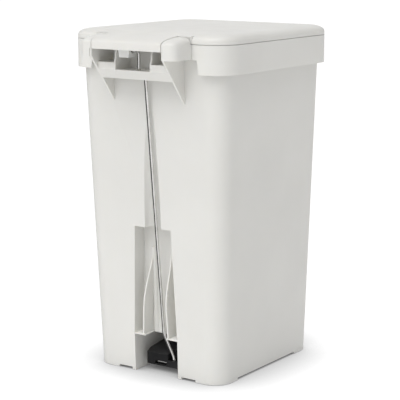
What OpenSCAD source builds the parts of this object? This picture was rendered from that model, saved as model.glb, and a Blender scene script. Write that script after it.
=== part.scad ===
// Pedal bin: tapered moulded body with a rim collar, a hinged lid, a push rod
// behind the rear wall and a foot pedal under the body.
// Millimetres, +Z up, +Y towards the hinge, origin on the floor under the middle.

/* [Body] */
// Half width of the body at the floor
base_half_w = 114.2; // [110:0.2:118]
// Half width of the body under the collar
neck_half_w = 128.1; // [124:0.1:130]
// Rear wall of the body at the floor
base_rear = 123.2; // [120:0.2:126]
// Rear wall of the body under the collar
neck_rear = 140.5; // [138:0.1:142]
// Front wall of the body at the floor
base_front = 129.8; // [127:0.2:132]
// Front wall of the body under the collar
neck_front = 136.7; // [134:0.1:138]
// Height of the collar's lower edge
neck_z = 453; // [450:1:455]
// Radius of the body's upright corners
corner_r = 28; // [24:1:32]
// Wall thickness of the mouldings
wall = 2.5; // [2:0.1:3]
// Height by which the floor edges are raised between the feet
edge_lift = 4; // [3:0.5:5]

/* [Collar and lid] */
// Distance by which the collar stands out from the body
collar_out = 10.4; // [9:0.2:11]
// Top of the collar
collar_top = 494.4; // [494:0.1:495]
// Gap between the collar and the lid
lid_gap = 0.6; // [0.4:0.1:1]
// Top of the lid's rolled edge
lid_edge_z = 508.8; // [508:0.2:509]
// Width of the lid's rolled edge
lid_roll = 20; // [15:1:24]
// Top of the lid's shallow dome
lid_dome_z = 511.4; // [511:0.2:512]

/* [Hinge] */
// Distance of the hinge axis behind the origin
hinge_y = 180; // [179:0.2:181]
// Height of the hinge axis
hinge_z = 495; // [494.6:0.1:495.4]
// Half width of the lid's rear tongue
tongue_half_w = 60.4; // [60:0.1:60.6]
// Rear face of the tongue and of the hinge caps
tongue_rear = 192; // [191:0.5:193]
// Lower edge of the tongue's apron
apron_z = 485.5; // [485:0.1:486]
// Outer face of the hinge caps
cap_half_w = 83.8; // [83:0.1:85.4]
// Radius of the hinge pins
pin_r = 2.5; // [2.4:0.1:2.6]

/* [Push rod and pedal] */
// Radius of the push rod's wire
rod_r = 2.5; // [2.2:0.1:2.6]
// Distance of the rod's upper end behind the origin
rod_top_y = 164; // [163.5:0.5:164.5]
// Height of the rod's upper leg
rod_top_z = 482.7; // [482.4:0.1:483]
// Distance of the rod's lower leg behind the origin
rod_foot_y = 103; // [102.5:0.5:103.5]
// Height of the rod's lower leg
rod_foot_z = 14; // [13.8:0.1:14.2]
// Distance of the pedal axle in front of the origin
axle_front = 50; // [48:1:52]
// Height of the pedal axle
axle_z = 25; // [24.5:0.1:25.5]
// Radius of the pedal axle
axle_r = 4; // [3.5:0.1:4.2]
// Distance of the pedal's tip in front of the origin
pedal_tip = 193; // [190:1:193]

/* [Bucket] */
// Height of the inner bucket's rim
bucket_top = 478; // [470:1:479]
// Wall thickness of the inner bucket
bucket_wall = 2; // [1.6:0.1:2.4]

/* [Hidden] */
$fn = 48;
over = 1;                 // overshoot of cutting solids
skin = 0.02;              // thickness of the slices that a hull joins
post_fn = 32;             // facets of the corner posts inside a hull
body_colour = [0.88, 0.87, 0.84];
lid_colour = [0.86, 0.85, 0.82];
white_colour = [0.94, 0.94, 0.92];
bucket_colour = [0.62, 0.64, 0.65];
black_colour = [0.09, 0.09, 0.10];
steel_colour = [0.75, 0.75, 0.76];

foot_z = 0.5;             // underside of the moulded corner feet, just above the pads
body_top = collar_top - wall;
floor_top = edge_lift + wall;
lid_base = collar_top + lid_gap;
rear_tilt = atan((neck_rear - base_rear) / neck_z);
tunnel_half_w = 39;
tunnel_top = 58;
tunnel_deck = tunnel_top + wall;
front_slot_top = 50;
recess_depth = 24;
recess_top = 223.5;
recess_half_top = 32.5;
recess_half_low = 39;
rib_half_low = 21.6;
rib_full_z = 100;
rib_tip_z = 198;
rib_t = 2.2;
gusset_in = 61;
gusset_out = 64;
gusset_top = 485.2;
gusset_low = [139, 408];
gusset_kink = [191, 475];
shelf_low_z = 442.6;
shelf_mid_z = 456;
shelf_side_z = 466;
rib_x = 30.3;
rib_rear = 174;
cap_low_z = 474;
cap_front = 153;
shelf_rear = slant_y(shelf_mid_z);
arm_x = [65, 81];
arm_z = [477, 488];
arm_rear = 186;
cap_roll = 11;
cap_round = 11;
cap_flat_w = cap_half_w - cap_roll;
cap_screw_at = [73, 168];
rod_x = -2;
lug_x = [7.5, 27];
lug_y = [157, 173.5];
lug_low_z = 473.5;
lug_top_z = 498;
slot_half = rod_r + 1;
bucket_floor_z = tunnel_deck + 0.5;
lever_rear = 109;
lever_half_w = 28;
lever_cheek = 3.5;
lever_slack = 0.8;        // clearance round the rod's lower leg
lever_notch_x = [-30, -10];
lever_window_x = [-7.5, 13.7];
lever_window_z = [11.3, 16.7];
bail_r = 2;
bail_z = bucket_top + 6;
bail_x = 119;
pad_at = [92, 100];
rod_points = [[rod_x, rod_top_y, rod_top_z], [rod_x, rod_top_y, 455], [rod_x, 148.6, 443],
    [rod_x, 107.6, 60], [-16.9, rod_foot_y, 24.3], [-17.3, rod_foot_y, rod_foot_z]];

function blend(a, b, t) = a + (b - a) * t;
function half_w(z) = blend(base_half_w, neck_half_w, z / neck_z);
function rear_y(z) = blend(base_rear, neck_rear, z / neck_z);
function front_y(z) = -blend(base_front, neck_front, z / neck_z);
function slant_y(z) = blend(gusset_low[0], gusset_kink[0],
    (z - gusset_low[1]) / (gusset_kink[1] - gusset_low[1]));
// Depth of the recess rib at height z: full below, easing out to nothing at its tip
function rib_depth(z) = recess_depth * (z <= rib_full_z ? 1
    : (1 + cos(180 * (z - rib_full_z) / (rib_tip_z - rib_full_z))) / 2);

// Four thin corner posts that a hull joins into one level of a rounded box
module posts(half, front, rear, r, z, h = skin)
    for (x = [r - half, half - r], y = [front + r, rear - r])
        translate([x, y, z]) cylinder(r = r, h = h, $fn = post_fn);

// One level of the body's taper, moved inwards by inset
module body_level(inset, z) posts(half_w(z) - inset, front_y(z) + inset, rear_y(z) - inset,
    corner_r - inset, z);

module body_taper(inset, z0, z1) hull() {
    body_level(inset, z0);
    body_level(inset, z1 - skin);
}

// A box from its two corners
module block(lo, hi) translate(lo) cube(hi - lo);

// A side outline, drawn in Y and Z, made x0 to x1 wide
module side_plate(points, x0, x1) translate([x0, 0, 0]) rotate([90, 0, 90])
    linear_extrude(x1 - x0) polygon(points);

// A cylinder along X
module x_rod(r, x0, x1, y, z) translate([x0, y, z]) rotate([0, 90, 0]) cylinder(r = r, h = x1 - x0);

// Both sides of the symmetry plane
module both_sides() {
    children();
    mirror([1, 0, 0]) children();
}

// The frame of the rear wall: local XZ lies in its outer face, +Y stands out of it
module on_rear_wall() translate([0, base_rear, 0]) rotate([-rear_tilt, 0, 0]) children();

// A front outline, drawn in X and Z, made y0 to y1 deep
module front_plate(points, y0, y1) translate([0, y1, 0]) rotate([90, 0, 0])
    linear_extrude(y1 - y0) polygon(points);

function unit(v) = v / norm(v);

// The route with each sharp corner turned into a curve that starts bend away from it
function rounded(route, bend) = [for (i = [0 : len(route) - 1])
    let (p = route[i], a = i > 0 ? unit(route[i - 1] - p) : [0, 0, 0],
        b = i < len(route) - 1 ? unit(route[i + 1] - p) : [0, 0, 0],
        sharp = i > 0 && i < len(route) - 1 && a * b > -0.97)
    each sharp ? [for (t = [0 : 0.25 : 1]) p + bend * (a * (1 - t) ^ 2 + b * t ^ 2)] : [p]];

// A wire of radius r along a route that never runs parallel to up
module wire(route, r, up, bend = 4, sides = 16) {
    path = rounded(route, bend);
    last = len(path) - 1;
    rings = [for (i = [0 : last])
        let (along = unit(path[min(i + 1, last)] - path[max(i - 1, 0)]),
            side = unit(cross(along, up)), top = cross(side, along))
        for (k = [0 : sides - 1])
            path[i] + r * (side * cos(360 * k / sides) + top * sin(360 * k / sides))];
    walls = [for (i = [0 : last - 1], k = [0 : sides - 1])
        let (next = (k + 1) % sides)
        [i * sides + k, i * sides + next, (i + 1) * sides + next, (i + 1) * sides + k]];
    ends = [[for (k = [sides - 1 : -1 : 0]) k], [for (k = [0 : sides - 1]) last * sides + k]];
    polyhedron(rings, concat(walls, ends), convexity = 8);
}

function recess_outline(grow) = [[-recess_half_low - grow, -10], [recess_half_low + grow, -10],
    [recess_half_low + grow, 58], [recess_half_top + grow, recess_top + grow],
    [-recess_half_top - grow, recess_top + grow], [-recess_half_low - grow, 58]];

// A round channel that leans out of the wall and so runs out to nothing at its top
groove_tilt = 3.7;

module groove(grow) on_rear_wall() translate([-1, 0.5, recess_top - 2]) rotate([-groove_tilt, 0, 0])
    cylinder(r1 = 14.8 + grow, r2 = 12.8 + grow, h = 187);

module recess_ribs() on_rear_wall() {
    both_sides() {
        translate([rib_half_low - 4.6, 0, rib_tip_z]) rotate([0, -2.7, 0])
            side_plate(concat([[-recess_depth - 0.5, 0], [-recess_depth - 0.5, 57.5 - rib_tip_z]],
                [for (z = [57.5, for (k = [0:10]) blend(rib_full_z, rib_tip_z, k / 10)])
                    [rib_depth(z) - recess_depth, z - rib_tip_z]]), -rib_t, 0);
        block([rib_half_low - rib_t, -recess_depth - 0.5, 57], [recess_half_low + 1, -0.6, 59.2]);
    }
    translate([15.5, -recess_depth - 1.2, 59]) cylinder(r = 4.2, h = 130);
}

// Gussets, shelf and ribs that carry the hinge behind the rear wall
module hinge_bracket() {
    both_sides() {
        side_plate([[rear_y(408) - 1, 406], gusset_low, gusset_kink, [gusset_kink[0], gusset_top],
            [rear_y(gusset_top) - 1, gusset_top]], gusset_in, gusset_out);
        side_plate([[slant_y(shelf_low_z), shelf_low_z], [shelf_rear, shelf_mid_z],
            [shelf_rear, shelf_side_z], [rear_y(shelf_side_z) - 1, shelf_side_z],
            [rear_y(shelf_side_z) - 1, shelf_side_z - wall],
            [shelf_rear - wall, shelf_side_z - wall], [shelf_rear - wall, shelf_mid_z],
            [slant_y(shelf_low_z) - 3, shelf_low_z]], rib_x, gusset_in);
        side_plate([[rear_y(440) - 1, shelf_mid_z - 4], [shelf_rear - 2, shelf_mid_z - 4],
            [shelf_rear, shelf_mid_z], [shelf_rear, shelf_side_z], [rib_rear, shelf_side_z + 6],
            [rib_rear, 478], [rib_rear - 3, gusset_top], [rear_y(gusset_top) - 1, gusset_top]],
            rib_x, rib_x + wall);
        block([gusset_out - 0.5, rear_y(arm_z[0]) - 1, arm_z[0]], [arm_x[1], arm_rear, arm_z[1]]);
    }
    side_plate([[slant_y(shelf_low_z), shelf_low_z], [shelf_rear, shelf_mid_z],
        [rear_y(shelf_mid_z) - 1, shelf_mid_z], [rear_y(shelf_mid_z) - 1, shelf_mid_z - wall],
        [shelf_rear - 5, shelf_mid_z - wall], [slant_y(shelf_low_z) - 3, shelf_low_z]],
        -rib_x, rib_x);
}

module body_shell() color(body_colour) difference() {
    union() {
        difference() {
            body_taper(0, foot_z, body_top);
            body_taper(wall, floor_top, body_top + over);
        }
        intersection() {
            body_taper(0.5, foot_z, body_top);
            union() {
                block([-tunnel_half_w - wall, -150, foot_z], [tunnel_half_w + wall, 150, tunnel_deck]);
                both_sides() block([79, -105, floor_top - over], [81.5, 90, tunnel_deck]);
                on_rear_wall() front_plate(recess_outline(wall), -recess_depth - wall, -0.4);
                groove(wall);
            }
        }
        hinge_bracket();
    }
    block([-tunnel_half_w, -118, -over], [tunnel_half_w, 104, tunnel_top]);
    block([-tunnel_half_w, -150, -over], [tunnel_half_w, -117, front_slot_top]);
    difference() {
        union() {
            on_rear_wall() front_plate(recess_outline(0), -recess_depth, 10);
            groove(0);
        }
        recess_ribs();
    }
    both_sides() {
        block([45, -160, -over], [70, 160, edge_lift]);
        block([70 - over, -82, -over], [160, 78, edge_lift]);
        x_rod(axle_r, tunnel_half_w - over, tunnel_half_w + wall + over, -axle_front, axle_z);
        for (y = [-1, 1]) translate([pad_at[0], y * pad_at[1], -over]) cylinder(r = 9, h = over + 1.5);
        translate([cap_screw_at[0], cap_screw_at[1], arm_z[0] - over]) cylinder(r = 1.5, h = 9);
    }
    block([rod_x - 4.5, 142.8, shelf_mid_z - wall - over], [rod_x + 4.5, 168, shelf_mid_z + over]);
}

// The collar's upright outline moved inwards by inset, from z0 to z1
collar_half = neck_half_w + collar_out;
collar_front = -neck_front - collar_out;
collar_rear = neck_rear + collar_out;
collar_r = corner_r + collar_out;

module collar_slab(inset, z0, z1) {
    r = collar_r - inset;
    block([inset - collar_half, collar_front + collar_r, z0],
        [collar_half - inset, collar_rear - collar_r, z1]);
    block([collar_r - collar_half, collar_front + inset, z0],
        [collar_half - collar_r, collar_rear - inset, z1]);
    for (x = [collar_r - collar_half, collar_half - collar_r],
        y = [collar_front + collar_r, collar_rear - collar_r])
        translate([x, y, z0]) cylinder(r = r, h = z1 - z0);
}

module rim_collar() color(body_colour) difference() {
    union() {
        difference() {
            collar_slab(0, neck_z, collar_top);
            collar_slab(wall, neck_z - over, collar_top - wall);
        }
        collar_slab(collar_out + wall + 0.8, collar_top - 9, collar_top);
    }
    collar_slab(collar_out + wall + 2.2, collar_top - 10, collar_top + over);
    front_plate([[-95, neck_z - over], [95, neck_z - over], [91.5, cap_low_z - 1],
        [-91.5, cap_low_z - 1]], 130, 200);
    block([-cap_half_w - 0.2, 142.3, cap_low_z - 2], [cap_half_w + 0.2, 200, collar_top + over]);
}

// Rounded upper outline of the tongue and the caps, from the apron forwards
hinge_top = [[tongue_rear, 494.5], [191.4, 496.6], [189.6, 498.4], [186.5, 499.9], [181, 501.3],
    [175, 502.4], [168, 503.5], [160, 504.5]];

// Side outline of a hinge cap, with its top and rear drawn in by inset
function cap_outline(inset) = concat([[cap_front, cap_low_z], [tongue_rear - inset, cap_low_z]],
    [for (p = hinge_top) [p[0] - inset * (p[0] - cap_front) / (tongue_rear - cap_front),
        p[1] - 0.3 - 0.6 * inset]],
    [[cap_front + 1.5, 504.2 - 0.6 * inset], [cap_front, 499 - 0.6 * inset]]);

module hinge_cap() difference() {
    union() {
        hull() {
            side_plate(cap_outline(0), 61.5, cap_flat_w);
            for (a = [18 : 18 : 90])
                side_plate(cap_outline(cap_round * (1 - cos(a))), cap_flat_w + cap_roll * sin(a) - skin,
                    cap_flat_w + cap_roll * sin(a));
        }
        block([gusset_out + 0.2, 142.5, cap_low_z], [cap_half_w, cap_front + 2, collar_top - 0.6]);
    }
    block([60, 140, 470], [gusset_out + 0.2, 200, gusset_top + 0.3]);
    block([60, 140, arm_z[0]], [arm_x[1], arm_rear, arm_z[1]]);
    x_rod(pin_r, 60, 78, hinge_y, hinge_z);
    translate([cap_screw_at[0], cap_screw_at[1], 470]) {
        cylinder(r = 1.5, h = 10);
        cylinder(r = 3, h = 5.2);
    }
}

module hinge_cap_left() color(body_colour) hinge_cap();
module hinge_cap_right() color(body_colour) mirror([1, 0, 0]) hinge_cap();

module hinge_pin() x_rod(pin_r, 47, 78, hinge_y, hinge_z);
module hinge_pin_left() color(steel_colour) hinge_pin();
module hinge_pin_right() color(steel_colour) mirror([1, 0, 0]) hinge_pin();

// A round-headed screw pointing up from its head's lower face
module screw(head_r, head_h, shank_r, length) {
    cylinder(r = head_r, h = head_h);
    cylinder(r = shank_r, h = head_h + length);
}

module cap_screws() color(steel_colour) both_sides()
    translate([cap_screw_at[0], cap_screw_at[1], cap_low_z - 0.6]) screw(3, 1.8, 1.5, 9.8);

module foot_pads() color(black_colour) both_sides()
    for (y = [-1, 1]) translate([pad_at[0], y * pad_at[1], 0]) cylinder(r = 9, h = 1.5);

module pedal_axle() color(steel_colour) x_rod(axle_r, -49, 49, -axle_front, axle_z);

module axle_clips() color(steel_colour) both_sides() difference() {
    x_rod(7.5, tunnel_half_w + wall, tunnel_half_w + wall + 1.5, -axle_front, axle_z);
    x_rod(axle_r, 40, 50, -axle_front, axle_z);
}

// One level of the bucket, moved inwards by inset
module bucket_level(inset, z) {
    t = (z - bucket_floor_z) / (bucket_top - bucket_floor_z);
    posts(blend(104, 118, t) - inset, -blend(118, 126, t) + inset, blend(97, 115, t) - inset,
        24 - inset, z);
}

module bucket_taper(inset, z0, z1) hull() {
    bucket_level(inset, z0);
    bucket_level(inset, z1);
}

module inner_bucket() color(bucket_colour) {
    difference() {
        union() {
            bucket_taper(0, bucket_floor_z, bucket_top);
            hull() {
                posts(122.5, -131, 125, 28, bucket_top - bucket_wall);
                posts(122.5, -131, 125, 28, bucket_top - skin);
            }
        }
        bucket_taper(bucket_wall, bucket_floor_z + bucket_wall, bucket_top + over);
    }
    both_sides() difference() {
        block([112.6, -9, bucket_top - 12], [115.4, 9, bail_z + 5]);
        x_rod(bail_r + 0.1, 110, 118, 0, bail_z);
    }
}

module bucket_handle() color(steel_colour) wire([[109, 0, bail_z], [bail_x, 0, bail_z],
    [bail_x, 90, bail_z], [98, 114, bail_z], [-98, 114, bail_z], [-bail_x, 90, bail_z],
    [-bail_x, 0, bail_z], [-109, 0, bail_z]], bail_r, [0, 0, 1], 3);

module handle_grip() color(black_colour) difference() {
    x_rod(5, -45, 45, 114, bail_z);
    x_rod(bail_r, -46, 46, 114, bail_z);
}

module lid_level(inset, z) posts(collar_half - inset, collar_front + inset, collar_rear - inset,
    max(collar_r - inset, 6), z);

// The lid's outside, drawn in by wall thickness t for its inside
module lid_block(t) hull() {
    lid_level(t, lid_base);
    for (a = [0 : 18 : 90])
        lid_level(t + lid_roll * (1 - cos(a)), 499.5 - t + (lid_edge_z - 499.5) * sin(a));
    lid_level(75, lid_dome_z - t);
}

// Outline of the tongue drawn in by t, from the lid's top back to the apron
root_top = [[100, 509.4], [131, 508], [cap_front - 1.5, 505.4]];
tongue_top = concat(root_top, [for (k = [len(hinge_top) - 1 : -1 : 0]) hinge_top[k]]);

function drawn_in(outline, t) = [for (p = outline) p - [p[0] > 188 ? t : 0, t]];

function tongue_outline() = concat(tongue_top, [[tongue_rear, apron_z],
    [tongue_rear - wall, apron_z], [hinge_y - 5.5, 492], [cap_front, lid_base], [146, lid_base],
    [146, lid_base + 3.2], [100, lid_base + 3.2]]);

// Cheeks between the tongue's hollow and the root's hollow, which hold the hinge bosses
module tongue_walls() both_sides() side_plate(concat(drawn_in(root_top, 0),
    [[cap_front - 1.5, lid_base], [146, lid_base], [146, lid_base + 3.2], [100, lid_base + 3.2]]),
    tongue_half_w - wall, tongue_half_w);

module lid_shell() color(lid_colour) difference() {
    union() {
        difference() {
            lid_block(0);
            lid_block(wall);
        }
        side_plate(tongue_outline(), -tongue_half_w, tongue_half_w);
        side_plate(concat(root_top, [[cap_front - 1.5, lid_base], [146, lid_base],
            [146, lid_base + 3.2], [100, lid_base + 3.2]]), -cap_half_w, cap_half_w);
        for (p = liner_screw_at) translate([p[0], p[1], lid_base + 2.8]) cylinder(r = 4, h = 12);
    }
    difference() {
        union() {
            side_plate(concat(drawn_in(tongue_top, wall), [[tongue_rear - wall, 470], [100, 470]]),
                wall - tongue_half_w, tongue_half_w - wall);
            side_plate(concat(drawn_in(root_top, wall), [[cap_front - 4, lid_base - over],
                [100, lid_base - over]]), wall - cap_half_w, cap_half_w - wall);
        }
        tongue_walls();
        both_sides() x_rod(5.5, 46, 62, hinge_y, hinge_z);
        for (p = liner_screw_at) translate([p[0], p[1], lid_base + 2.8]) cylinder(r = 4, h = 12);
        block([lug_x[0], lug_y[0], lug_top_z], [lug_x[1], lug_y[1], 510]);
    }
    block([-200, -200, 400], [200, 151.5, lid_base]);
    both_sides() x_rod(pin_r + 1.5, 45, 62, hinge_y, hinge_z);
    for (p = liner_screw_at) translate([p[0], p[1], lid_base]) cylinder(r = 1.4, h = 11);
    for (x = lug_screw_x) translate([x, lug_screw_y, lug_top_z - over]) cylinder(r = 1.2, h = 3.8);
}

liner_screw_at = [for (x = [-88, 0, 88], y = [-100, 100]) [x, y]];
lug_screw_x = [12.5, 22];
lug_screw_y = 162;

module lid_liner() color(white_colour) difference() {
    union() {
        collar_slab(4, lid_base + 0.3, lid_base + 2.8);
        collar_slab(17, collar_top - 4, lid_base + 1.2);
    }
    collar_slab(19, collar_top - 5, lid_base + 0.8);
    block([-200, 140, 400], [200, 200, 520]);
    for (p = liner_screw_at) translate([p[0], p[1], 490]) cylinder(r = 1.4, h = 12);
    for (p = buffer_at) translate([p[0], p[1], 490]) cylinder(r = 2, h = 12);
}

buffer_at = [for (x = [-128.5, 128.5], y = [-110, 95]) [x, y]];

module liner_screws() color(steel_colour) for (p = liner_screw_at)
    translate([p[0], p[1], lid_base - 1.5]) screw(3.2, 1.8, 1.4, 9);

module lid_buffers() color(black_colour) for (p = buffer_at) translate([p[0], p[1], 0]) {
    translate([0, 0, collar_top + 0.3]) cylinder(r = 4, h = lid_gap);
    translate([0, 0, collar_top + 0.3]) cylinder(r = 2, h = lid_gap + 2.5);
}

module hinge_bushes() color(white_colour) both_sides() difference() {
    x_rod(pin_r + 1.5, 46, tongue_half_w, hinge_y, hinge_z);
    x_rod(pin_r + 0.05, 45, 62, hinge_y, hinge_z);
}

// Angle and length of the drive arm from the hinge axis to the rod's upper leg
arm_angle = atan2(hinge_z - rod_top_z, hinge_y - rod_top_y);
slot_run = norm([hinge_y - rod_top_y, hinge_z - rod_top_z]) - (hinge_y - rod_top_y) + 0.6;

module drive_lug() color(white_colour) difference() {
    front_plate([[lug_x[0] + 1.5, lug_low_z], [lug_x[1] - 1.5, lug_low_z], [lug_x[1], 484],
        [lug_x[1], lug_top_z], [lug_x[0], lug_top_z], [lug_x[0], 484]], lug_y[0], lug_y[1]);
    translate([0, rod_top_y, rod_top_z]) rotate([arm_angle, 0, 0]) {
        x_rod(slot_half, 0, 40, 0, 0);
        x_rod(slot_half, 0, 40, slot_run, 0);
        block([0, 0, -slot_half], [40, slot_run, slot_half]);
    }
    for (x = lug_screw_x) translate([x, lug_screw_y, lug_low_z - over]) {
        cylinder(r = 1.2, h = 40);
        cylinder(r = 2.6, h = 17.5);
    }
}

module lug_screws() color(steel_colour) for (x = lug_screw_x)
    translate([x, lug_screw_y, 488.3]) screw(2.5, 1.6, 1.2, 9);

module push_rod() color(steel_colour) wire(concat([[29.2, rod_top_y, rod_top_z]], rod_points,
    [[18, rod_foot_y, rod_foot_z]]), rod_r, [0, 1, 0]);

module rod_clip() color(steel_colour) difference() {
    x_rod(4.5, lug_x[1] + 0.3, lug_x[1] + 1.5, rod_top_y, rod_top_z);
    x_rod(rod_r, lug_x[1], 30, rod_top_y, rod_top_z);
}

// Upper side outline of the lever, from its rear end to the tread
lever_top = [[lever_rear, 28], [100, 32.5], [67, 37], [40, 41], [0, 47], [-30, 48.5], [-62, 45],
    [-142, 41]];

// One of the two hollows under the lever, between its web and a cheek
module lever_pocket() side_plate(concat([[86, 6]],
    [for (p = lever_top) [min(p[0], 86), p[1] - 3.4]], [[-138, 37.6], [-138, 20], [-axle_front, 6]]),
    9, lever_half_w - lever_cheek);

module pedal_lever() color(black_colour) difference() {
    union() {
        side_plate(concat([[84, 9.5], [lever_rear, 9.5]], lever_top, [[-142, 30], [-axle_front, 14]]),
            -lever_half_w, lever_half_w);
        side_plate([[-140, 30], [-140, 41], [-pedal_tip + 5, 41], [-pedal_tip, 37],
            [-pedal_tip, 32], [-pedal_tip + 3, 30]], -38, 38);
    }
    both_sides() lever_pocket();
    x_rod(axle_r + 2, -30, 30, -axle_front, axle_z);
    x_rod(rod_r + lever_slack, lever_notch_x[0], 20, rod_foot_y, rod_foot_z);
    block([lever_notch_x[0], rod_foot_y - 6, rod_foot_z - rod_r - lever_slack],
        [lever_notch_x[1], rod_foot_y + 4.2, 40]);
    block([lever_notch_x[0], rod_foot_y, 20], [lever_notch_x[1], lever_rear + over, 40]);
    block([lever_window_x[0], rod_foot_y, lever_window_z[0]],
        [lever_window_x[1], lever_rear + over, lever_window_z[1]]);
}

module pedal_tread() color(black_colour) union() {
    block([-34, -pedal_tip + 7, 41], [34, -145, 42.6]);
    for (k = [0:6]) block([-32, -pedal_tip + 9 + 5.6 * k, 42.6], [32, -pedal_tip + 11.5 + 5.6 * k, 43.6]);
}

module lever_bushes() color(white_colour) both_sides() difference() {
    x_rod(axle_r + 2, lever_half_w - lever_cheek, lever_half_w + 2, -axle_front, axle_z);
    x_rod(axle_r + 0.06, 20, 32, -axle_front, axle_z);
}

body_shell();
rim_collar();
hinge_cap_left();
hinge_cap_right();
hinge_pin_left();
hinge_pin_right();
cap_screws();
foot_pads();
pedal_axle();
axle_clips();
inner_bucket();
bucket_handle();
handle_grip();
lid_shell();
lid_liner();
liner_screws();
lid_buffers();
hinge_bushes();
drive_lug();
lug_screws();
push_rod();
rod_clip();
pedal_lever();
pedal_tread();
lever_bushes();
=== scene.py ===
"""Looks of the pedal bin: moulded plastic shells, steel wire rod, black pedal, studio floor and light.
Metres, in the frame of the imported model: +Z up, +Y towards the hinge, -Y towards the pedal."""

import math

import bmesh
import bpy
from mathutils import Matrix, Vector


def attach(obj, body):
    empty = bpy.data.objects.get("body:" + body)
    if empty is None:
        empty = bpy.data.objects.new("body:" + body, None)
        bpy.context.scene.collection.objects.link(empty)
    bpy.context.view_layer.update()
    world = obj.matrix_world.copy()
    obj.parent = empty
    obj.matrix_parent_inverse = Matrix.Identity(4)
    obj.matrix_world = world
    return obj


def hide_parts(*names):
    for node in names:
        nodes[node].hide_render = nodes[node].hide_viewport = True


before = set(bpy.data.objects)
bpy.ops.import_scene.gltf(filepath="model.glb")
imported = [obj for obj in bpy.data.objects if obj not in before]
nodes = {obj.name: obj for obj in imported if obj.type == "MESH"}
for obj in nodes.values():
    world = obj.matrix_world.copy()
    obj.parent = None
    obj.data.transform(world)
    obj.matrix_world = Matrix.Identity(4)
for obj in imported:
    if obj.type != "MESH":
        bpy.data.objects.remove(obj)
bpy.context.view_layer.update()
MM = 0.001

# The rod's corners in millimetres, the same as in the part's source
ROD_ROUTE = [(29.2, 164, 482.7), (-2, 164, 482.7), (-2, 164, 455), (-2, 148.6, 443),
             (-2, 107.6, 60), (-16.9, 103, 24.3), (-17.3, 103, 14), (18, 103, 14)]
ROD_SKIN_RADIUS = 2.49    # just inside the CAD rod's own 2.5
ROD_BEND = 4              # distance from a corner at which its curve starts

SKY = 0.33                # even light from all round
FLOOR_GLOW = 1.02         # the floor's own light, which makes it white to the camera
DARK_GLOW = 0.03          # painted reflection: the glow shiny steel sees from the floor's left-hand side
KEY = 2.08
KEY_FROM = (0.0, 1.0, 2.0)
KEY_SPREAD = 50           # angular width of a sun in degrees
FILL = 0.64
FILL_FROM = (0.2, 1.2, 0.12)
FILL_SPREAD = 70
DARK_SIDE = (0.82, 0.57, 0.0)         # where the mirrored studio is darkest
DARK_FLOOR_SIDE = (1.0, 0.19, 0.0)    # across the line where the painted reflection of the floor turns dark

# Level of the mirrored studio, from opposite the dark side (0) to the dark side itself (1)
STUDIO_LEVELS = ((0.0, 0.95), (0.14, 0.9), (0.24, 0.25), (0.36, 0.85), (0.6, 0.95), (0.66, 0.02),
                 (0.97, 0.02), (1.0, 0.7))

CAMERA_AZIMUTH = 214.65   # degrees, 0 in front of the bin
CAMERA_ELEVATION = 10.42
CAMERA_DISTANCE = 2.1697
CAMERA_TARGET = (0.001, 0, 0.2575)
CAMERA_LENS = 128.15
CAMERA_SHIFT = (-0.0085, -0.021)


# ---------------------------------------------------------------- materials

def new_material(name):
    """An empty node material with its Principled shader and the object's own coordinates."""
    material = bpy.data.materials.new(name)
    material.use_nodes = True
    tree = material.node_tree
    shader = tree.nodes["Principled BSDF"]
    coords = tree.nodes.new("ShaderNodeTexCoord")
    return material, tree, shader, coords.outputs["Object"]


def noise(tree, vector, scale, detail=3.0, stretch=None):
    """A noise texture in object coordinates, optionally stretched along an axis."""
    if stretch:
        mapping = tree.nodes.new("ShaderNodeMapping")
        mapping.inputs["Scale"].default_value = stretch
        tree.links.new(vector, mapping.inputs["Vector"])
        vector = mapping.outputs["Vector"]
    texture = tree.nodes.new("ShaderNodeTexNoise")
    texture.inputs["Scale"].default_value = scale
    texture.inputs["Detail"].default_value = detail
    tree.links.new(vector, texture.inputs["Vector"])
    return texture.outputs["Fac"]


def ramp(tree, fac, low, high, start=0.3, end=0.7):
    """A colour ramp from low to high between two positions of fac."""
    node = tree.nodes.new("ShaderNodeValToRGB")
    node.color_ramp.elements[0].position = start
    node.color_ramp.elements[1].position = end
    node.color_ramp.elements[0].color = (*low, 1)
    node.color_ramp.elements[1].color = (*high, 1)
    tree.links.new(fac, node.inputs["Fac"])
    return node.outputs["Color"]


def spread(tree, fac, low, high):
    """Maps a noise value to a number between low and high."""
    node = tree.nodes.new("ShaderNodeMapRange")
    node.inputs["From Min"].default_value = 0.3
    node.inputs["From Max"].default_value = 0.7
    node.inputs["To Min"].default_value = low
    node.inputs["To Max"].default_value = high
    tree.links.new(fac, node.inputs["Value"])
    return node.outputs["Result"]


def bumps(tree, shader, layers):
    """Chains bump nodes, one for each (height, strength, distance)."""
    normal = None
    for height, strength, distance in layers:
        node = tree.nodes.new("ShaderNodeBump")
        node.inputs["Strength"].default_value = strength
        node.inputs["Distance"].default_value = distance
        tree.links.new(height, node.inputs["Height"])
        if normal:
            tree.links.new(normal, node.inputs["Normal"])
        normal = node.outputs["Normal"]
    tree.links.new(normal, shader.inputs["Normal"])


def scaled(colour, factor):
    return tuple(c * factor for c in colour)


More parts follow.
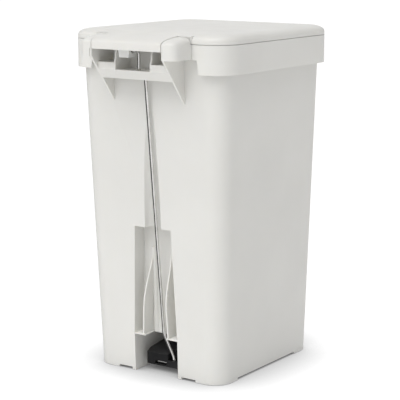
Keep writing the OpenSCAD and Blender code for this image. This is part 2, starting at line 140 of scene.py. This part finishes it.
def moulded_plastic(name, colour, rough=(0.42, 0.52), mottle=0.03, milkiness=0.0):
    """Injection-moulded plastic: fine spark-eroded grain, faint flow mottle and slow waviness.
    Milkiness is the share of light that spreads inside a thin wall."""
    material, tree, shader, coords = new_material(name)
    cloud = noise(tree, coords, 9, 4)
    tint = ramp(tree, cloud, scaled(colour, 1 - mottle), scaled(colour, 1 + mottle / 2))
    tree.links.new(tint, shader.inputs["Base Color"])
    tree.links.new(spread(tree, noise(tree, coords, 45, 5), *rough), shader.inputs["Roughness"])
    shader.inputs["Specular IOR Level"].default_value = 0.4
    shader.inputs["Subsurface Weight"].default_value = milkiness
    shader.inputs["Subsurface Radius"].default_value = (1.0, 0.95, 0.85)
    shader.inputs["Subsurface Scale"].default_value = 3.5 * MM
    bumps(tree, shader, [(noise(tree, coords, 1400, 2), 0.22, 0.06 * MM),
                         (noise(tree, coords, 14, 2), 0.25, 0.5 * MM)])
    return material


def steel_wire(name):
    """Bright drawn wire: streaks along its length and a few duller bands."""
    material, tree, shader, coords = new_material(name)
    streak = noise(tree, coords, 900, 4, stretch=(1, 1, 0.02))
    tint = ramp(tree, noise(tree, coords, 60, 5), (0.62, 0.61, 0.59), (0.80, 0.80, 0.79))
    tree.links.new(tint, shader.inputs["Base Color"])
    tree.links.new(spread(tree, streak, 0.09, 0.2), shader.inputs["Roughness"])
    shader.inputs["Metallic"].default_value = 1.0
    bumps(tree, shader, [(streak, 0.15, 0.05 * MM)])
    return material


def plated_steel(name):
    """Zinc-plated steel with a faint crystalline mottle."""
    material, tree, shader, coords = new_material(name)
    spangle = noise(tree, coords, 500, 3)
    tree.links.new(ramp(tree, spangle, (0.46, 0.46, 0.48), (0.66, 0.66, 0.67)),
                   shader.inputs["Base Color"])
    tree.links.new(spread(tree, noise(tree, coords, 240, 4), 0.28, 0.44), shader.inputs["Roughness"])
    shader.inputs["Metallic"].default_value = 1.0
    bumps(tree, shader, [(spangle, 0.2, 0.04 * MM)])
    return material


def rubber(name):
    """Matt black rubber with a fine leathery grain."""
    material, tree, shader, coords = new_material(name)
    tree.links.new(ramp(tree, noise(tree, coords, 80, 5), (0.010, 0.010, 0.010),
                        (0.024, 0.024, 0.023)), shader.inputs["Base Color"])
    tree.links.new(spread(tree, noise(tree, coords, 300, 4), 0.72, 0.9), shader.inputs["Roughness"])
    bumps(tree, shader, [(noise(tree, coords, 1100, 3), 0.5, 0.15 * MM)])
    return material


BODY = moulded_plastic("body_plastic", (0.742, 0.735, 0.705), milkiness=0.3)
LID = moulded_plastic("lid_plastic", (0.735, 0.727, 0.697), rough=(0.38, 0.48), milkiness=0.3)
WHITE = moulded_plastic("white_plastic", (0.83, 0.83, 0.81), rough=(0.35, 0.45), milkiness=0.3)
BUCKET = moulded_plastic("bucket_plastic", (0.20, 0.215, 0.225), rough=(0.4, 0.55), mottle=0.08)
BLACK = moulded_plastic("black_plastic", (0.012, 0.012, 0.013), rough=(0.36, 0.5), mottle=0.3)
WIRE = steel_wire("drawn_steel_wire")
ZINC = plated_steel("zinc_plated_steel")
RUBBER = rubber("black_rubber")


# ---------------------------------------------------------------- mesh helpers

def finish_mesh(bm, name, material, smooth_angle=40):
    """Turns a bmesh into an object with one material, smooth except over sharp edges."""
    bmesh.ops.recalc_face_normals(bm, faces=bm.faces)
    for face in bm.faces:
        face.smooth = True
    for edge in bm.edges:
        edge.smooth = edge.calc_face_angle(0) < math.radians(smooth_angle)
    mesh = bpy.data.meshes.new(name)
    bm.to_mesh(mesh)
    bm.free()
    mesh.materials.append(material)
    piece = bpy.data.objects.new(name, mesh)
    bpy.context.scene.collection.objects.link(piece)
    weighted = piece.modifiers.new("weighted_normals", "WEIGHTED_NORMAL")
    weighted.keep_sharp = True
    return piece


def round_edges(bm, width, sharper_than=30):
    """Rounds every edge sharper than the angle."""
    edges = [e for e in bm.edges
             if e.is_manifold and e.calc_face_angle(0) > math.radians(sharper_than)]
    bmesh.ops.bevel(bm, geom=edges, offset=width, segments=2, profile=0.5,
                    affect="EDGES", clamp_overlap=True)


def cad_mesh(node):
    """A clean copy of a CAD node's mesh: joined corners, and flat faces in one piece."""
    bm = bmesh.new()
    bm.from_mesh(nodes[node].data)
    bmesh.ops.remove_doubles(bm, verts=bm.verts, dist=0.005 * MM)
    bmesh.ops.dissolve_limit(bm, angle_limit=math.radians(0.6), verts=bm.verts, edges=bm.edges)
    return bm


def dressed(node, body, slot, material, width):
    """Stands for a CAD node of the right shape, with its edges rounded as moulded ones are."""
    bm = cad_mesh(node)
    if width:
        round_edges(bm, width)
    piece = finish_mesh(bm, node + "_skin", material)
    place(piece, body, slot, node)
    return piece


def swept_wire(name, route, radius, bend, up, material, body, slot, sides=24, steps=8):
    """A round wire along a route of corners in millimetres, each corner turned into a curve."""
    corners = [Vector(p) for p in route]
    path = [corners[0]]
    for before, corner, after in zip(corners, corners[1:], corners[2:]):
        arrive, leave = (before - corner).normalized(), (after - corner).normalized()
        for k in range(steps + 1):
            t = k / steps
            path.append(corner + bend * (arrive * (1 - t) ** 2 + leave * t ** 2))
    path.append(corners[-1])
    bm = bmesh.new()
    rings = []
    for i, centre in enumerate(path):
        along = (path[min(i + 1, len(path) - 1)] - path[max(i - 1, 0)]).normalized()
        side = along.cross(Vector(up)).normalized()
        top = side.cross(along)
        rings.append([bm.verts.new((centre + radius * (
            side * math.cos(math.tau * k / sides) + top * math.sin(math.tau * k / sides))) * MM)
            for k in range(sides)])
    for ring, following in zip(rings, rings[1:]):
        for k in range(sides):
            n = (k + 1) % sides
            bm.faces.new((ring[k], ring[n], following[n], following[k]))
    bm.faces.new(rings[0])
    bm.faces.new(rings[-1])
    piece = finish_mesh(bm, name, material, 50)
    place(piece, body, slot, name.replace("_skin", ""))
    return piece


def place(piece, body, slot, *replaced):
    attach(piece, body)
    if replaced:
        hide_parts(*replaced)


# ---------------------------------------------------------------- the bin

# Node, body, slot, material, and rounding of its edges in millimetres
PIECES = [
    ("body_shell", "root", "body_plastic", BODY, 0.8),
    ("rim_collar", "root", "body_plastic", BODY, 0.35),
    ("hinge_cap_left", "root", "body_plastic", BODY, 0.8),
    ("hinge_pin_left", "root", "steel_wire", WIRE, 0.4),
    ("hinge_cap_right", "root", "body_plastic", BODY, 0.8),
    ("hinge_pin_right", "root", "steel_wire", WIRE, 0.4),
    ("cap_screws", "root", "screw_steel", ZINC, 0.3),
    ("foot_pads", "root", "black_rubber", RUBBER, 0.4),
    ("pedal_axle", "root", "screw_steel", ZINC, 0.5),
    ("axle_clips", "root", "screw_steel", ZINC, 0.2),
    ("inner_bucket", "root", "bucket_plastic", BUCKET, 0.6),
    ("bucket_handle", "root", "steel_wire", WIRE, 0),
    ("handle_grip", "root", "black_plastic", BLACK, 0.6),
    ("lid_shell", "lid", "lid_plastic", LID, 0.35),
    ("lid_liner", "lid", "white_plastic", WHITE, 0.5),
    ("liner_screws", "lid", "screw_steel", ZINC, 0.3),
    ("lid_buffers", "lid", "black_rubber", RUBBER, 0.2),
    ("hinge_bushes", "lid", "white_plastic", WHITE, 0.2),
    ("drive_lug", "lid", "white_plastic", WHITE, 0.6),
    ("lug_screws", "lid", "screw_steel", ZINC, 0.3),
    ("push_rod", "rod", "steel_wire", WIRE, 0),
    ("rod_clip", "rod", "screw_steel", ZINC, 0.1),
    ("pedal_lever", "pedal", "black_plastic", BLACK, 0.8),
    ("pedal_tread", "pedal", "black_rubber", RUBBER, 0.4),
    ("lever_bushes", "pedal", "white_plastic", WHITE, 0.2),
]


def make_bin():
    for node, body, slot, material, width in PIECES:
        if node == "push_rod":
            swept_wire(node + "_skin", ROD_ROUTE, ROD_SKIN_RADIUS, ROD_BEND, (0, 1, 0),
                       material, body, slot)
        else:
            dressed(node, body, slot, material, width * MM)


# ---------------------------------------------------------------- stage

def aim(thing, target):
    thing.rotation_euler = (Vector(target) - thing.location).to_track_quat("-Z", "Y").to_euler()


def link_new(data, name):
    thing = bpy.data.objects.new(name, data)
    bpy.context.scene.collection.objects.link(thing)
    return thing


def soft_sun(name, direction, strength, spread_degrees):
    """A wide, even light that comes from the given direction."""
    data = bpy.data.lights.new(name, "SUN")
    data.energy = strength
    data.angle = math.radians(spread_degrees)
    light = link_new(data, name)
    light.location = Vector(direction) * 3
    aim(light, (0, 0, 0))


def mirrored_glow(tree, coords):
    """The floor's glow: even to the camera, but to glossy surfaces a painted reflection that is dark
    on the bin's left-hand side.
    """
    across = tree.nodes.new("ShaderNodeVectorMath")
    across.operation = "DOT_PRODUCT"
    across.inputs[1].default_value = DARK_FLOOR_SIDE
    tree.links.new(coords, across.inputs[0])
    glow = tree.nodes.new("ShaderNodeMapRange")
    glow.inputs["From Min"].default_value = 0.015
    glow.inputs["From Max"].default_value = 0.045
    glow.inputs["To Min"].default_value = FLOOR_GLOW
    glow.inputs["To Max"].default_value = DARK_GLOW
    tree.links.new(across.outputs["Value"], glow.inputs["Value"])
    ray = tree.nodes.new("ShaderNodeLightPath")
    mix = tree.nodes.new("ShaderNodeMix")
    mix.inputs["A"].default_value = FLOOR_GLOW
    tree.links.new(ray.outputs["Is Glossy Ray"], mix.inputs["Factor"])
    tree.links.new(glow.outputs["Result"], mix.inputs["B"])
    return mix.outputs["Result"]


def make_floor():
    """A pale floor that runs out into the white background, with a painted shadow under and around the
    bin.
    """
    bm = bmesh.new()
    bmesh.ops.create_circle(bm, cap_ends=True, radius=30, segments=64)
    mesh = bpy.data.meshes.new("floor")
    bm.to_mesh(mesh)
    bm.free()
    material, tree, shader, coords = new_material("pale_floor")
    tree.links.new(ramp(tree, noise(tree, coords, 3), (0.05, 0.05, 0.05), (0.06, 0.06, 0.06)),
                   shader.inputs["Base Color"])
    shader.inputs["Roughness"].default_value = 0.9
    shader.inputs["Specular IOR Level"].default_value = 0.0
    # Painted shadow: the floor's glow colour turns dark where ambient occlusion finds the bin close by
    painted_shadow_ao = tree.nodes.new("ShaderNodeAmbientOcclusion")
    painted_shadow_ao.inputs["Distance"].default_value = 0.11
    painted_shadow_ao.samples = 16
    painted_shadow_colour = ramp(tree, painted_shadow_ao.outputs["AO"], (0.05, 0.05, 0.05), (1, 1, 1), 0.0, 0.88)
    tree.links.new(painted_shadow_colour, shader.inputs["Emission Color"])
    tree.links.new(mirrored_glow(tree, coords), shader.inputs["Emission Strength"])
    mesh.materials.append(material)
    link_new(mesh, "floor")


def make_world():
    """White to the camera, an even soft light to the bin, and to glossy surfaces a studio that is
    darker towards the bin's rear left-hand side."""
    world = bpy.data.worlds.new("studio")
    bpy.context.scene.world = world
    world.use_nodes = True
    tree = world.node_tree
    sky = tree.nodes["Background"]
    sky.inputs["Color"].default_value = (1, 1, 1, 1)
    sky.inputs["Strength"].default_value = SKY
    seen = tree.nodes.new("ShaderNodeBackground")
    seen.inputs["Color"].default_value = (1, 1, 1, 1)
    seen.inputs["Strength"].default_value = 1.0
    mirrored = tree.nodes.new("ShaderNodeBackground")
    mirrored.inputs["Strength"].default_value = 1.0
    coords = tree.nodes.new("ShaderNodeTexCoord")
    facing = tree.nodes.new("ShaderNodeVectorMath")
    facing.operation = "DOT_PRODUCT"
    facing.inputs[1].default_value = DARK_SIDE
    tree.links.new(coords.outputs["Generated"], facing.inputs[0])
    across = tree.nodes.new("ShaderNodeMapRange")
    across.inputs["From Min"].default_value = -1
    tree.links.new(facing.outputs["Value"], across.inputs["Value"])
    shade = tree.nodes.new("ShaderNodeValToRGB")
    elements = shade.color_ramp.elements
    while len(elements) < len(STUDIO_LEVELS):
        elements.new(0.5)
    for element, (position, level) in zip(elements, STUDIO_LEVELS):
        element.position = position
        element.color = (level, level, level, 1)
    tree.links.new(across.outputs["Result"], shade.inputs["Fac"])
    tree.links.new(shade.outputs["Color"], mirrored.inputs["Color"])
    ray = tree.nodes.new("ShaderNodeLightPath")
    shiny = tree.nodes.new("ShaderNodeMixShader")
    tree.links.new(ray.outputs["Is Glossy Ray"], shiny.inputs["Fac"])
    tree.links.new(sky.outputs["Background"], shiny.inputs[1])
    tree.links.new(mirrored.outputs["Background"], shiny.inputs[2])
    mix = tree.nodes.new("ShaderNodeMixShader")
    tree.links.new(ray.outputs["Is Camera Ray"], mix.inputs["Fac"])
    tree.links.new(shiny.outputs["Shader"], mix.inputs[1])
    tree.links.new(seen.outputs["Background"], mix.inputs[2])
    tree.links.new(mix.outputs["Shader"], tree.nodes["World Output"].inputs["Surface"])


def make_stage():
    make_floor()
    make_world()
    soft_sun("key", KEY_FROM, KEY, KEY_SPREAD)
    soft_sun("fill", FILL_FROM, FILL, FILL_SPREAD)


def make_camera():
    """The camera stands behind the bin, to its right-hand side, a little above it."""
    azimuth, elevation = math.radians(CAMERA_AZIMUTH), math.radians(CAMERA_ELEVATION)
    target = Vector(CAMERA_TARGET)
    data = bpy.data.cameras.new("camera")
    data.lens = CAMERA_LENS
    data.sensor_width = 36
    data.shift_x, data.shift_y = CAMERA_SHIFT
    data.clip_start = 0.05
    camera = bpy.data.objects.new("camera", data)
    camera.location = target + CAMERA_DISTANCE * Vector((
        math.sin(azimuth) * math.cos(elevation), -math.cos(azimuth) * math.cos(elevation),
        math.sin(elevation)))
    bpy.context.scene.collection.objects.link(camera)
    aim(camera, target)
    bpy.context.scene.camera = camera


make_camera()
make_bin()
make_stage()
bpy.context.scene.view_settings.view_transform = "Standard"
